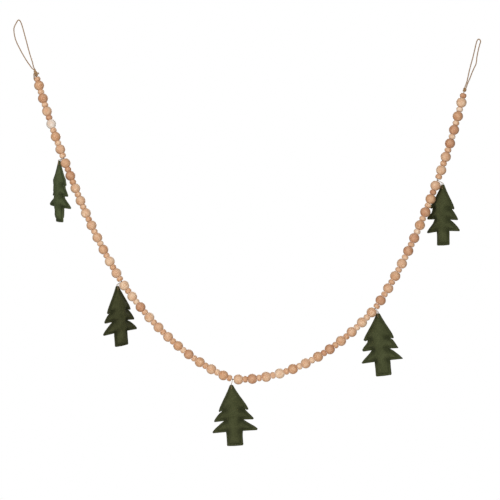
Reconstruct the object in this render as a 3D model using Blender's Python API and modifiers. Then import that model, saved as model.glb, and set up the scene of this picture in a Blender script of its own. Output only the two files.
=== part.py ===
"""Felt tree garland: five stuffed felt trees and a run of wooden beads on jute twine.

The garland hangs from a twine loop at each end, in the XZ plane: X runs to the
right, Z up, and the front faces -Y. The origin is the top of the left loop, where
a nail or hook carries it. Units are metres.
"""

import math

import bmesh
import bpy
import numpy as np
from mathutils import Euler

# --- driving sizes --------------------------------------------------------------
LARGE_BEAD_RADIUS = 0.0103
LARGE_BEAD_HALF_LENGTH = 0.0091
SMALL_BEAD_RADIUS = 0.0069
SMALL_BEAD_HALF_LENGTH = 0.0045
LARGE_BEAD_SECTIONS = (-0.6, 0.0, 0.6)
SMALL_BEAD_SECTIONS = (-0.3, 0.3)
BEAD_END_RADIUS = 0.0048
BORE_RADIUS = 0.0014
TWINE_RADIUS = 0.0010
THREAD_RADIUS = 0.0005
CLEARANCE = 0.0003
TUBE_SMOOTHNESS = 2
BEAD_SIDES = 8
KNOT_SIDES = 12
WELD = 0.0001

TREE_RIM_HALF = 0.0015
TREE_CROWN_HALF = 0.0108
SEAM_INSET = 0.0028
CROWN_REACH = 0.0150
CROWN_RISE = 0.0400
THREAD_HOLE_BELOW_TIP = 0.0080
THREAD_HOLE_RADIUS = 0.0011
THREAD_ABOVE_TIP = 0.0016
THREAD_BOW = 0.26
THREAD_STEP = 0.0020

# --- the string of beads ----------------------------------------------------------
# One row for each run of beads between two hanging points. The heading is the
# string's direction in degrees above the horizontal, at the run's start and end.
# In between, its tangent changes evenly, as in a chain that hangs by its weight.
# Small and large beads take turns, from a small one at each end of the string.
FIRST_BEAD = (0.0383, -0.1218)
BEAD_RUNS = (
    # beads  pitch  bead_scale  heading_start  heading_end  bare_string_after
    (13, 0.01384, 1.00, -74.0, -68.7, 0.0031),
    (20, 0.01388, 1.00, -69.5, -58.9, 0.0027),
    (22, 0.01393, 1.00, -54.8, -22.8, 0.0049),
    (23, 0.01439, 1.03, -0.2, 47.3, 0.0025),
    (20, 0.01457, 1.03, 55.8, 69.9, 0.0054),
    (13, 0.01455, 1.03, 69.7, 76.1, 0.0),
)

# --- the felt trees ---------------------------------------------------------------
# The tip's place is from the point of the string that carries the tree. Yaw turns
# the face to the left, roll lifts the right side, pitch swings the foot forwards,
# and curl bends the side flaps back.
TREES = (
    # tip_x    tip_y    tip_z    yaw  roll  pitch  size  curl
    (-0.0099, 0.0072, -0.0045, 61.0, -4.0, -1.8, 1.01, 0.0030),
    (-0.0088, 0.0040, -0.0097, -42.0, 7.8, -3.0, 1.00, 0.0030),
    (-0.0028, 0.0000, -0.0114, 8.0, 3.8, 0.0, 1.00, 0.0010),
    (0.0065, 0.0065, -0.0102, 29.0, 8.0, 5.0, 1.03, 0.0030),
    (0.0114, 0.0040, -0.0090, 50.0, 2.3, 2.0, 1.00, 0.0030),
)

# The right half of the cut outline, from tip to foot, at the nominal height. The
# spine column is the height on the centre line that the point's felt runs towards.
TREE_OUTLINE = (
    # across    down     spine
    (0.0000, 0.0000, 0.0060),
    (0.0028, 0.0003, 0.0070),
    (0.0075, 0.0100, 0.0130),
    (0.0140, 0.0215, 0.0220),
    (0.0207, 0.0325, 0.0295),
    (0.0262, 0.0420, 0.0350),
    (0.0292, 0.0492, 0.0380),
    (0.0282, 0.0516, 0.0400),
    (0.0208, 0.0490, 0.0455),
    (0.0285, 0.0565, 0.0510),
    (0.0355, 0.0640, 0.0570),
    (0.0402, 0.0700, 0.0630),
    (0.0390, 0.0722, 0.0665),
    (0.0192, 0.0718, 0.0712),
    (0.0300, 0.0800, 0.0765),
    (0.0400, 0.0870, 0.0810),
    (0.0452, 0.0920, 0.0850),
    (0.0442, 0.0948, 0.0885),
    (0.0300, 0.0950, 0.0915),
    (0.0168, 0.0952, 0.0950),
    (0.0164, 0.1100, 0.1030),
    (0.0166, 0.1235, 0.1090),
    (0.0155, 0.1250, 0.1120),
    (0.0000, 0.1255, 0.1130),
)
# Where the rings of points lie, as shares of the way from the cut edge to the spine.
TREE_RINGS = (0.0, 0.22, 0.55, 1.0)

# Each tree's six side flaps hang a little differently. A row gives how far each tip is
# bent, to the garland's right and upwards. The bend fades over a reach above the tip's
# level and a shorter one below it, where the notch parts the flap from the next.
FLAP_TIPS = (
    # across   down
    (-0.0292, 0.0500), (0.0292, 0.0500),
    (-0.0400, 0.0710), (0.0400, 0.0710),
    (-0.0450, 0.0935), (0.0450, 0.0935),
)
FLAP_ABOVE = (0.060, 0.060, 0.016, 0.016, 0.016, 0.016)
FLAP_BELOW = 0.005
FLAP_BENDS = (
    # top left, top right, middle left, middle right, bottom left, bottom right
    ((-0.0018, 0.0027), (0.0010, 0.0010), (0.0013, -0.0009),
     (-0.0013, 0.0009), (-0.0040, 0.0024), (0.0024, -0.0022)),
    ((-0.0004, -0.0030), (0.0011, -0.0022), (0.0017, 0.0004),
     (-0.0006, -0.0041), (0.0022, -0.0023), (-0.0004, -0.0032)),
    ((0.0000, -0.0027), (0.0027, -0.0014), (-0.0004, -0.0021),
     (0.0012, -0.0006), (0.0000, -0.0027), (0.0031, -0.0004)),
    ((-0.0070, -0.0020), (0.0000, -0.0021), (-0.0024, 0.0010),
     (-0.0041, -0.0021), (-0.0012, -0.0029), (-0.0024, -0.0026)),
    ((-0.0045, 0.0037), (0.0005, -0.0009), (-0.0043, 0.0033),
     (-0.0010, -0.0027), (-0.0016, -0.0036), (-0.0018, -0.0037)),
)

# --- the end loops and knots ------------------------------------------------------
# Each loop leaves its knot by the left strand and comes back by the right one. Its
# points are from the garland's origin on the left, and from the knot on the right.
LEFT_LOOP = (
    # x       y       z
    (0.0326, -0.0008, -0.1036),
    (0.0284, -0.0006, -0.1003),
    (0.0244, 0.0000, -0.0952),
    (0.0159, 0.0000, -0.0832),
    (0.0041, 0.0000, -0.0628),
    (-0.0062, 0.0000, -0.0408),
    (-0.0099, 0.0000, -0.0196),
    (-0.0056, 0.0000, -0.0072),
    (0.0000, 0.0000, 0.0000),
    (0.0056, 0.0000, -0.0076),
    (0.0142, 0.0000, -0.0377),
    (0.0222, 0.0000, -0.0676),
    (0.0276, 0.0000, -0.0849),
    (0.0308, 0.0006, -0.0972),
    (0.0341, 0.0008, -0.1031),
)
RIGHT_LOOP = (
    # x       y       z
    (0.0003, 0.0000, 0.0046),
    (0.0044, 0.0000, 0.0156),
    (0.0062, 0.0000, 0.0225),
    (0.0093, 0.0000, 0.0371),
    (0.0132, 0.0000, 0.0527),
    (0.0165, 0.0000, 0.0645),
    (0.0210, 0.0000, 0.0830),
    (0.0249, 0.0000, 0.0990),
    (0.0290, 0.0000, 0.1046),
    (0.0330, 0.0000, 0.1005),
    (0.0312, 0.0000, 0.0935),
    (0.0282, 0.0000, 0.0816),
    (0.0256, 0.0000, 0.0684),
    (0.0237, 0.0000, 0.0540),
    (0.0198, 0.0000, 0.0454),
    (0.0155, 0.0000, 0.0356),
    (0.0110, 0.0000, 0.0240),
    (0.0070, 0.0000, 0.0150),
    (0.0029, 0.0000, 0.0036),
)
LOOP_STEP = 0.0065
CURVE_FINENESS = 12
LEFT_KNOT = {"from_bead": 0.0120, "half_length": 0.0062, "radius": 0.0039}
RIGHT_KNOT = {"from_bead": 0.0123, "half_length": 0.0038, "radius": 0.0039}
KNOT_END_RADIUS = 0.0028
KNOT_WAIST_SHARE = 0.4
# The left knot's two cut ends, from the knot's centre. The long one leaves the knot in
# front and hangs down past the first bead's left side.
LEFT_TAIL_1 = (
    # x       y        z
    (0.0044, 0.0000, 0.0012),
    (0.0056, 0.0000, 0.0010),
    (0.0062, 0.0000, -0.0002),
    (0.0063, 0.0000, -0.0018),
)
LEFT_TAIL_2 = (
    # x       y        z
    (-0.0026, -0.0036, -0.0006),
    (-0.0031, -0.0047, -0.0014),
    (-0.0030, -0.0055, -0.0035),
    (-0.0028, -0.0060, -0.0064),
    (-0.0026, -0.0063, -0.0098),
    (-0.0025, -0.0062, -0.0135),
)
TAIL_STEP = 0.0012

FELT = ("felt", (0.055, 0.072, 0.026), 0.95)
WOOD = ("turned_wood", (0.62, 0.40, 0.22), 0.60)
JUTE = ("jute", (0.42, 0.31, 0.20), 0.90)
THREAD = ("thread", (0.66, 0.55, 0.42), 0.85)


# --- small helpers ----------------------------------------------------------------
def clear_scene():
    for item in list(bpy.data.objects):
        bpy.data.objects.remove(item, do_unlink=True)


def new_collection(name):
    group = bpy.data.collections.new(name)
    bpy.context.scene.collection.children.link(group)
    return group


def make_material(kind):
    name, colour, roughness = kind
    material = bpy.data.materials.get(name) or bpy.data.materials.new(name)
    material.use_nodes = True
    shader = material.node_tree.nodes["Principled BSDF"]
    shader.inputs["Base Color"].default_value = (*colour, 1.0)
    shader.inputs["Roughness"].default_value = roughness
    return material


def add_object(name, data, kind, group):
    item = bpy.data.objects.new(name, data)
    data.materials.append(make_material(kind))
    group.objects.link(item)
    return item


def add_mesh(name, points, faces, kind, group):
    """A mesh object, with doubled points merged and its faces turned outwards."""
    mesh = bpy.data.meshes.new(name)
    mesh.from_pydata([tuple(p) for p in points], [], faces)
    shape = bmesh.new()
    shape.from_mesh(mesh)
    bmesh.ops.remove_doubles(shape, verts=shape.verts, dist=WELD)
    bmesh.ops.recalc_face_normals(shape, faces=shape.faces)
    shape.to_mesh(mesh)
    shape.free()
    mesh.shade_smooth()
    return add_object(name, mesh, kind, group)


def add_tube(name, points, radius, kind, group, closed=False):
    """A round cord along the points, capped unless it closes on itself."""
    curve = bpy.data.curves.new(name, "CURVE")
    curve.dimensions = "3D"
    curve.bevel_depth = radius
    curve.bevel_resolution = TUBE_SMOOTHNESS
    curve.use_fill_caps = not closed
    spline = curve.splines.new("POLY")
    spline.points.add(len(points) - 1)
    for point, place in zip(spline.points, points):
        point.co = (*place, 1.0)
    spline.use_cyclic_u = closed
    return add_object(name, curve, kind, group)


def heading_vector(degrees):
    angle = math.radians(degrees)
    return np.array([math.cos(angle), 0.0, math.sin(angle)])


def unit(vector):
    return vector / np.linalg.norm(vector)


def smooth_path(points, step, closed=False):
    """Evenly spaced places on a Catmull-Rom curve through the points."""
    points = np.asarray(points, float)
    if closed:
        ring = np.vstack([points[-1], points, points[0], points[1]])
    else:
        ring = np.vstack([2 * points[0] - points[1], points, 2 * points[-1] - points[-2]])
    t = np.linspace(0.0, 1.0, CURVE_FINENESS, endpoint=False)[:, None]
    pieces = []
    for a, b, c, d in zip(ring[:-3], ring[1:-2], ring[2:-1], ring[3:]):
        pieces.append(
            0.5 * (2 * b + (c - a) * t + (2 * a - 5 * b + 4 * c - d) * t**2
                   + (3 * b - 3 * c + d - a) * t**3)
        )
    fine = np.vstack(pieces + [points[:1] if closed else points[-1:]])
    along = np.concatenate([[0.0], np.cumsum(np.linalg.norm(np.diff(fine, axis=0), axis=1))])
    count = max(4, round(along[-1] / step))
    wanted = np.linspace(0.0, along[-1], count + 1)
    path = np.column_stack([np.interp(wanted, along, fine[:, k]) for k in range(3)])
    return path[:-1] if closed else path


# --- beads ------------------------------------------------------------------------
def bead_size(small, scale):
    """Radius and half length of a bead."""
    if small:
        return SMALL_BEAD_RADIUS * scale, SMALL_BEAD_HALF_LENGTH * scale
    return LARGE_BEAD_RADIUS * scale, LARGE_BEAD_HALF_LENGTH * scale


def chain_heading(start, end, share):
    """The heading a share of the way down a run, with an evenly changing tangent."""
    slope = math.tan(math.radians(start)) * (1 - share) + math.tan(math.radians(end)) * share
    return math.degrees(math.atan(slope))


def lay_out_beads():
    """Bead rows for every run, and the string's point and direction at each gap."""
    place = np.array([FIRST_BEAD[0], 0.0, FIRST_BEAD[1]])
    small = True
    runs = []
    gaps = []
    for row, (count, pitch, scale, start, end, bare) in enumerate(BEAD_RUNS):
        beads = []
        for number in range(count):
            radius, half = bead_size(small, scale)
            lean = chain_heading(start, end, number / (count - 1))
            beads.append({"centre": place, "along": heading_vector(lean),
                          "radius": radius, "half": half, "small": small})
            small = not small
            if number < count - 1:
                lean = chain_heading(start, end, (number + 0.5) / (count - 1))
                place = place + pitch * heading_vector(lean)
        runs.append(beads)
        if bare:
            _, _, next_scale, next_start, _, _ = BEAD_RUNS[row + 1]
            leaving = heading_vector(end)
            arriving = heading_vector(next_start)
            middle = place + (beads[-1]["half"] + bare / 2) * leaving
            gaps.append({"centre": middle, "along": unit(leaving + arriving)})
            place = middle + (bare / 2 + bead_size(small, next_scale)[1]) * arriving
    return runs, gaps


def run_sections(beads):
    """Centre, direction and radius of each section down a run of joined beads.

    A bead is an ellipsoid cut flat where its radius has shrunk to the end radius, so
    its section at a share t of the half length has radius R sqrt(1 - t^2 (1 - (e/R)^2)).
    """
    sections = []
    for number, bead in enumerate(beads):
        radius, half = bead["radius"], bead["half"]
        shares = SMALL_BEAD_SECTIONS if bead["small"] else LARGE_BEAD_SECTIONS
        if number == 0:
            sections.append((bead["centre"] - half * bead["along"], bead["along"], BEAD_END_RADIUS))
        for share in shares:
            shrink = share**2 * (1.0 - (BEAD_END_RADIUS / radius) ** 2)
            sections.append((bead["centre"] + share * half * bead["along"], bead["along"],
                             radius * math.sqrt(1.0 - shrink)))
        end = bead["centre"] + half * bead["along"]
        if number < len(beads) - 1:
            following = beads[number + 1]
            start = following["centre"] - following["half"] * following["along"]
            sections.append(((end + start) / 2, unit(bead["along"] + following["along"]),
                             BEAD_END_RADIUS))
        else:
            sections.append((end, bead["along"], BEAD_END_RADIUS))
    return sections


def bore_sections(beads, sections):
    """The sections at the run's two ends and at every second joint between beads."""
    joints = [s for s in sections if s[2] == BEAD_END_RADIUS]
    keep = list(range(0, len(joints) - 1, 2)) + [len(joints) - 1]
    return [(joints[k][0], joints[k][1]) for k in keep]


def section_ring(centre, along, radius):
    """Points of a circle across the direction, with one point straight in front."""
    front = np.array([0.0, -1.0, 0.0])
    side = np.cross(along, front)
    angles = 2 * math.pi * np.arange(BEAD_SIDES)[:, None] / BEAD_SIDES
    return centre + radius * (np.cos(angles) * front + np.sin(angles) * side)


def add_bead_run(name, beads, group):
    """Beads threaded end to end, as one body with a straight-through bore.

    Each section is a ring of points. The rings run down the outside and back up
    the bore, and the last ring joins the first.
    """
    sections = run_sections(beads)
    bore = bore_sections(beads, sections)
    rings = [section_ring(*section) for section in sections]
    rings += [section_ring(centre, along, BORE_RADIUS) for centre, along in reversed(bore)]
    faces = []
    for ring in range(len(rings)):
        here = ring * BEAD_SIDES
        there = (ring + 1) % len(rings) * BEAD_SIDES
        for side in range(BEAD_SIDES):
            turn = (side + 1) % BEAD_SIDES
            faces.append((here + side, here + turn, there + turn, there + side))
    add_mesh(name, np.vstack(rings), faces, WOOD, group)
    return [centre for centre, _ in bore]


# --- felt trees -------------------------------------------------------------------
def edge_distance(points, outline):
    """Shortest way from each point to the closed outline."""
    start = outline[None, :, :]
    step = np.roll(outline, -1, axis=0)[None, :, :] - start
    reach = points[:, None, :] - start
    share = np.clip((reach * step).sum(2) / (step**2).sum(2), 0.0, 1.0)
    return np.linalg.norm(reach - share[:, :, None] * step, axis=2).min(axis=1)


def tree_points(size, curl):
    """Rings of (across, depth, down) on the front face, from the cut edge to the spine.

    The half thickness is that of two layers of felt out to the seam, and rises from
    there as a smooth step of the distance from the edge, less so towards the tip.
    """
    right = np.array(TREE_OUTLINE) * size
    left = right[-2:0:-1] * (-1.0, 1.0, 1.0)
    table = np.vstack([right, left])
    outline = table[:, :2]
    spine = np.column_stack([np.zeros(len(table)), table[:, 2]])
    rings = []
    for share in TREE_RINGS:
        flat = outline + share * (spine - outline)
        inside = edge_distance(flat, outline) - SEAM_INSET
        rise = np.clip(inside / CROWN_REACH, 0.0, 1.0)
        swell = rise**2 * (3 - 2 * rise) * np.clip(flat[:, 1] / CROWN_RISE, 0.0, 1.0)
        half = TREE_RIM_HALF + (TREE_CROWN_HALF - TREE_RIM_HALF) * swell
        bend = curl * (flat[:, 0] / right[:, 0].max()) ** 2
        rings.append((flat, half, bend))
    return rings


def flap_shift(flat, bends, turn):
    """How far the bent flaps move flat points, in the tree's own axes.

    A flap's share of its bend grows evenly from the tree's middle to the flap's tip. It
    fades as exp(-(d / reach)^2) at the distance d above or below the level of the tip.
    """
    tips = np.array(FLAP_TIPS)
    share = np.clip(flat[:, :1] / tips[:, 0], 0.0, 1.0)
    below = flat[:, 1:] - tips[:, 1]
    reach = np.where(below > 0.0, FLAP_BELOW, np.array(FLAP_ABOVE))
    weight = share * np.exp(-((below / reach) ** 2))
    across, up = (weight @ np.array(bends)).T
    return np.column_stack([across, np.zeros(len(flat)), up]) @ np.array(turn)


def add_tree(name, place, row, bends, group, cutters):
    """One stuffed tree: two crowned faces and the narrow edge between them."""
    _, _, _, yaw, roll, pitch, size, curl = row
    tilt = Euler((math.radians(-pitch), math.radians(-roll), math.radians(-yaw)))
    turn = tilt.to_matrix()
    rings = tree_points(size, curl)
    around = len(rings[0][0])
    points = []
    for side in (-1.0, 1.0):
        for flat, half, bend in rings:
            level = np.column_stack([flat[:, 0], side * half + bend, -flat[:, 1]])
            points.append(level + flap_shift(flat, bends, turn))
    order = list(range(len(rings) - 1, -1, -1)) + list(range(len(rings), 2 * len(rings)))
    faces = []
    for inner, outer in zip(order[:-1], order[1:]):
        for k in range(around):
            following = (k + 1) % around
            faces.append((inner * around + k, inner * around + following,
                          outer * around + following, outer * around + k))
    tree = add_mesh(name, np.vstack(points), faces, FELT, group)
    tree.location = place
    tree.rotation_euler = tilt

    cutter_mesh = bpy.data.meshes.new(name + "_hole")
    hole = bmesh.new()
    bmesh.ops.create_cone(hole, cap_ends=True, segments=BEAD_SIDES, radius1=THREAD_HOLE_RADIUS,
                          radius2=THREAD_HOLE_RADIUS, depth=4 * TREE_CROWN_HALF)
    hole.to_mesh(cutter_mesh)
    hole.free()
    cutter = bpy.data.objects.new(name + "_hole", cutter_mesh)
    cutters.objects.link(cutter)
    cutter.parent = tree
    cutter.location = (0.0, 0.0, -THREAD_HOLE_BELOW_TIP)
    cutter.rotation_euler = (math.radians(90.0), 0.0, 0.0)
    cutter.hide_render = True
    cutter.display_type = "WIRE"
    cut = tree.modifiers.new("thread hole", "BOOLEAN")
    cut.object = cutter
    cut.operation = "DIFFERENCE"
    cut.solver = "EXACT"
    return tree


def add_hanger(name, gap, tree, group):
    """A closed loop of thread, over the string and through the hole in the felt.

    Its two strands leave the string square to it, in front and behind, come together
    over the tip, and run down the two faces of the felt to the hole.
    """
    bpy.context.view_layer.update()
    turn = np.array(tree.matrix_world.to_3x3())
    up = turn[:, 2]
    out = -turn[:, 1]
    front = np.array([0.0, -1.0, 0.0])
    anchor = gap["centre"]
    tip = np.array(tree.matrix_world.translation)
    crest = tip + THREAD_ABOVE_TIP * up
    hole = tip - THREAD_HOLE_BELOW_TIP * up
    side = np.cross(gap["along"], front)
    side = side * math.copysign(1.0, side @ (hole - anchor))
    bow = (anchor + crest) / 2 + THREAD_BOW * np.linalg.norm(crest - anchor) * side
    over = TWINE_RADIUS + THREAD_RADIUS + 2 * CLEARANCE
    beside = TREE_RIM_HALF + THREAD_RADIUS + 4 * CLEARANCE
    strand = (
        (anchor, over * front),
        (bow, (over + beside) / 2 * unit(front + out)),
        (crest, beside * out),
        ((tip + hole) / 2, beside * out),
    )
    down = [middle + offset for middle, offset in strand]
    up_again = [middle - offset for middle, offset in reversed(strand)]
    through = [hole + beside * out, hole, hole - beside * out]
    points = [anchor - over * side] + down + through + up_again
    add_tube(name, smooth_path(points, THREAD_STEP, closed=True), THREAD_RADIUS,
             THREAD, group, closed=True)


# --- knots and loops --------------------------------------------------------------
def add_knot(name, centre, along, size, group):
    """The lump of an overhand knot: a turned barrel with flat ends."""
    half, radius = size["half_length"], size["radius"]
    waist = KNOT_WAIST_SHARE * half
    profile = ((0.0, half), (KNOT_END_RADIUS, half), (radius, waist),
               (radius, -waist), (KNOT_END_RADIUS, -half), (0.0, -half))
    mesh = bpy.data.meshes.new(name)
    mesh.from_pydata([(x, 0.0, z) for x, z in profile], [(k, k + 1) for k in range(5)], [])
    knot = add_object(name, mesh, JUTE, group)
    knot.location = centre
    knot.rotation_euler = (0.0, math.atan2(along[0], along[2]), 0.0)
    turned = knot.modifiers.new("turned", "SCREW")
    turned.steps = turned.render_steps = KNOT_SIDES
    turned.use_merge_vertices = True
    turned.merge_threshold = WELD
    turned.use_normal_calculate = True


def main():
    clear_scene()
    group = new_collection("felt_tree_garland")
    cutters = new_collection("cutters")
    runs, gaps = lay_out_beads()

    string = []
    for number, beads in enumerate(runs, start=1):
        string += add_bead_run(f"beads_{number}", beads, group)
        if number <= len(gaps):
            string.append(gaps[number - 1]["centre"])

    left_along = -runs[0][0]["along"]
    left_centre = runs[0][0]["centre"] + LEFT_KNOT["from_bead"] * left_along
    right_along = runs[-1][-1]["along"]
    right_centre = runs[-1][-1]["centre"] + RIGHT_KNOT["from_bead"] * right_along
    add_knot("left_knot", left_centre, left_along, LEFT_KNOT, group)
    add_knot("right_knot", right_centre, right_along, RIGHT_KNOT, group)

    string_start = left_centre - (LEFT_KNOT["half_length"] + CLEARANCE) * left_along
    string_end = right_centre - (RIGHT_KNOT["half_length"] + CLEARANCE) * right_along
    add_tube("bead_string", [string_start] + string + [string_end], TWINE_RADIUS, JUTE, group)

    add_tube("left_loop", smooth_path(LEFT_LOOP, LOOP_STEP), TWINE_RADIUS, JUTE, group)
    add_tube("right_loop", right_centre + smooth_path(RIGHT_LOOP, LOOP_STEP), TWINE_RADIUS,
             JUTE, group)
    for name, tail in (("left_tail_1", LEFT_TAIL_1), ("left_tail_2", LEFT_TAIL_2)):
        add_tube(name, left_centre + smooth_path(tail, TAIL_STEP), TWINE_RADIUS, JUTE, group)

    for number, (gap, row, bends) in enumerate(zip(gaps, TREES, FLAP_BENDS), start=1):
        tip = gap["centre"] + np.array(row[:3])
        tree = add_tree(f"felt_tree_{number}", tip, row, bends, group, cutters)
        add_hanger(f"hanger_{number}", gap, tree, group)


main()
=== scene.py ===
"""Looks of a felt tree garland: stuffed felt trees and turned beads on jute twine.

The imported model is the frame. Each piece is worked out in metres in that frame: X
runs to the right, Z up, and the front faces -Y. The origin is the top of the left
loop, and the string of beads hangs in the XZ plane.
"""

import math
from collections import namedtuple

import bmesh
import bpy
import numpy as np
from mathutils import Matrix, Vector


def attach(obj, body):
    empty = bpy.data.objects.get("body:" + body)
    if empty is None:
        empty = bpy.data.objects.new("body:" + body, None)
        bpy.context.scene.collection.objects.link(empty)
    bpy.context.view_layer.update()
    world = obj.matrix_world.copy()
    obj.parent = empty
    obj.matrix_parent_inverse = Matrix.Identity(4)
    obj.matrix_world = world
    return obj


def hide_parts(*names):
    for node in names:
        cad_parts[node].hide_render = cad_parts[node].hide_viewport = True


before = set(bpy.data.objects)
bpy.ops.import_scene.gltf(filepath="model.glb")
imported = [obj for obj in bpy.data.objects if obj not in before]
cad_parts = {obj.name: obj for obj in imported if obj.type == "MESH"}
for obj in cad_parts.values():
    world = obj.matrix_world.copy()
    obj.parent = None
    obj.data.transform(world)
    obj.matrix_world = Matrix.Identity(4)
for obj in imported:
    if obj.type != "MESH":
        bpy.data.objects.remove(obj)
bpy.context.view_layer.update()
MM = 0.001

# --- sizes shared with the model ---
LARGE_BEAD_RADIUS = 10.3 * MM
LARGE_BEAD_HALF_LENGTH = 9.1 * MM
SMALL_BEAD_RADIUS = 6.9 * MM
SMALL_BEAD_HALF_LENGTH = 4.5 * MM
BEAD_END_RADIUS = 4.8 * MM
BORE_RADIUS = 1.4 * MM
TWINE_RADIUS = 1.0 * MM
THREAD_RADIUS = 0.5 * MM
CLEARANCE = 0.3 * MM

TREE_RIM_HALF = 1.5 * MM
TREE_CROWN_HALF = 10.8 * MM
SEAM_INSET = 4.0 * MM
THREAD_HOLE_BELOW_TIP = 8.0 * MM
# How far a hanging thread bows beside its bead, as a share of its way to the tree.
THREAD_BOW = 0.26

# One row for each run of beads between two hanging points.
FIRST_BEAD = (0.0383, 0.0, -0.1218)
BEAD_RUNS = (
    # beads  pitch  bead_scale  heading_start  heading_end  bare_string_after
    (13, 0.01384, 1.00, -74.0, -68.7, 0.0031),
    (20, 0.01388, 1.00, -69.5, -58.9, 0.0027),
    (22, 0.01393, 1.00, -54.8, -22.8, 0.0049),
    (23, 0.01439, 1.03, -0.2, 47.3, 0.0025),
    (20, 0.01457, 1.03, 55.8, 69.9, 0.0054),
    (13, 0.01455, 1.03, 69.7, 76.1, 0.0),
)

# The wood of each bead, run by run: w whitish, p pale, l light, m middle, t tan, b brown.
BEAD_TONES = (
    "mtlbmmbwmtlml",
    "tbbtllmmltmmmltmltmt",
    "ltlpbmltmmmttpbmttmltt",
    "mtbmmmpmtlmltbbtttmlllm",
    "mbmmttmmlbmbptmbltbm",
    "tltmmbpbltplb",
)
TONE_STEPS = {"w": 0.0, "p": 0.2, "l": 0.38, "m": 0.55, "t": 0.74, "b": 0.95}

# How each tree hangs: its tip from the point of the string that carries it, its turns in
# degrees, its size and how far its sides curl back. Its felt's tint runs from a darker olive
# (0) to a clearer, lighter green (1). The tint is partly the tree's own and partly painted light:
# it is lighter on the trees turned towards the key light and darkest on tree 2, which is turned
# away.
HungTree = namedtuple("HungTree", "tip yaw roll pitch size curl dye")
TREES = (
    HungTree((-0.0099, 0.0072, -0.0045), 61.0, -4.0, -1.8, 1.01, 0.0030, 1.0),
    HungTree((-0.0088, 0.0040, -0.0097), -42.0, 7.8, -3.0, 1.00, 0.0030, 0.0),
    HungTree((-0.0028, 0.0000, -0.0114), 8.0, 3.8, 0.0, 1.00, 0.0010, 0.35),
    HungTree((0.0065, 0.0065, -0.0102), 29.0, 8.0, 5.0, 1.03, 0.0030, 0.5),
    HungTree((0.0114, 0.0040, -0.0090), 50.0, 2.3, 2.0, 1.00, 0.0030, 0.4),
)

# The right half of the cut outline, from tip to foot.
TREE_OUTLINE = (
    # across  down
    (0.0000, 0.0000), (0.0028, 0.0003), (0.0075, 0.0100), (0.0140, 0.0215),
    (0.0207, 0.0325), (0.0262, 0.0420), (0.0292, 0.0492), (0.0282, 0.0516),
    (0.0208, 0.0490), (0.0285, 0.0565), (0.0355, 0.0640), (0.0402, 0.0700),
    (0.0390, 0.0722), (0.0192, 0.0718), (0.0300, 0.0800), (0.0400, 0.0870),
    (0.0452, 0.0920), (0.0442, 0.0948), (0.0300, 0.0950), (0.0168, 0.0952),
    (0.0164, 0.1100), (0.0166, 0.1235), (0.0155, 0.1250), (0.0000, 0.1255),
)

# Each tree's six side flaps hang a little differently. A row of the bends gives how far
# each tip is moved, to the garland's right and upwards. The bend fades over a reach above
# the tip's level and a shorter one below it, where a notch parts the flap from the next.
FLAP_TIPS = (
    # across   down
    (-0.0292, 0.0500), (0.0292, 0.0500),
    (-0.0400, 0.0710), (0.0400, 0.0710),
    (-0.0450, 0.0935), (0.0450, 0.0935),
)
FLAP_ABOVE = (0.060, 0.060, 0.016, 0.016, 0.016, 0.016)
FLAP_BELOW = 0.005
FLAP_BENDS = (
    # top left, top right, middle left, middle right, bottom left, bottom right
    ((-0.0018, 0.0027), (0.0010, 0.0010), (0.0013, -0.0009),
     (-0.0013, 0.0009), (-0.0040, 0.0024), (0.0024, -0.0022)),
    ((-0.0004, -0.0030), (0.0011, -0.0022), (0.0017, 0.0004),
     (-0.0006, -0.0041), (0.0022, -0.0023), (-0.0004, -0.0032)),
    ((0.0000, -0.0027), (0.0027, -0.0014), (-0.0004, -0.0021),
     (0.0012, -0.0006), (0.0000, -0.0027), (0.0031, -0.0004)),
    ((-0.0070, -0.0020), (0.0000, -0.0021), (-0.0024, 0.0010),
     (-0.0041, -0.0021), (-0.0012, -0.0029), (-0.0024, -0.0026)),
    ((-0.0045, 0.0037), (0.0005, -0.0009), (-0.0043, 0.0033),
     (-0.0010, -0.0027), (-0.0016, -0.0036), (-0.0018, -0.0037)),
)

LEFT_KNOT = {"from_bead": 0.0120, "half_length": 0.0062, "radius": 0.0039, "taper": 0.18}
RIGHT_KNOT = {"from_bead": 0.0123, "half_length": 0.0038, "radius": 0.0039, "taper": 0.0}
LEFT_LOOP = (
    # x       y       z
    (0.0326, -0.0008, -0.1036),
    (0.0284, -0.0006, -0.1003),
    (0.0244, 0.0000, -0.0952),
    (0.0159, 0.0000, -0.0832),
    (0.0041, 0.0000, -0.0628),
    (-0.0062, 0.0000, -0.0408),
    (-0.0099, 0.0000, -0.0196),
    (-0.0056, 0.0000, -0.0072),
    (0.0000, 0.0000, 0.0000),
    (0.0056, 0.0000, -0.0076),
    (0.0142, 0.0000, -0.0377),
    (0.0222, 0.0000, -0.0676),
    (0.0276, 0.0000, -0.0849),
    (0.0308, 0.0006, -0.0972),
    (0.0341, 0.0008, -0.1031),
)
RIGHT_LOOP = (
    # from the right knot's centre
    (0.0003, 0.0000, 0.0046),
    (0.0044, 0.0000, 0.0156),
    (0.0062, 0.0000, 0.0225),
    (0.0093, 0.0000, 0.0371),
    (0.0132, 0.0000, 0.0527),
    (0.0165, 0.0000, 0.0645),
    (0.0210, 0.0000, 0.0830),
    (0.0249, 0.0000, 0.0990),
    (0.0290, 0.0000, 0.1046),
    (0.0330, 0.0000, 0.1005),
    (0.0312, 0.0000, 0.0935),
    (0.0282, 0.0000, 0.0816),
    (0.0256, 0.0000, 0.0684),
    (0.0237, 0.0000, 0.0540),
    (0.0198, 0.0000, 0.0454),
    (0.0155, 0.0000, 0.0356),
    (0.0110, 0.0000, 0.0240),
    (0.0070, 0.0000, 0.0150),
    (0.0029, 0.0000, 0.0036),
)
LEFT_TAIL_1 = (
    # from the left knot's centre
    (0.0044, 0.0000, 0.0012),
    (0.0056, 0.0000, 0.0010),
    (0.0062, 0.0000, -0.0002),
    (0.0063, 0.0000, -0.0018),
)
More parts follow.
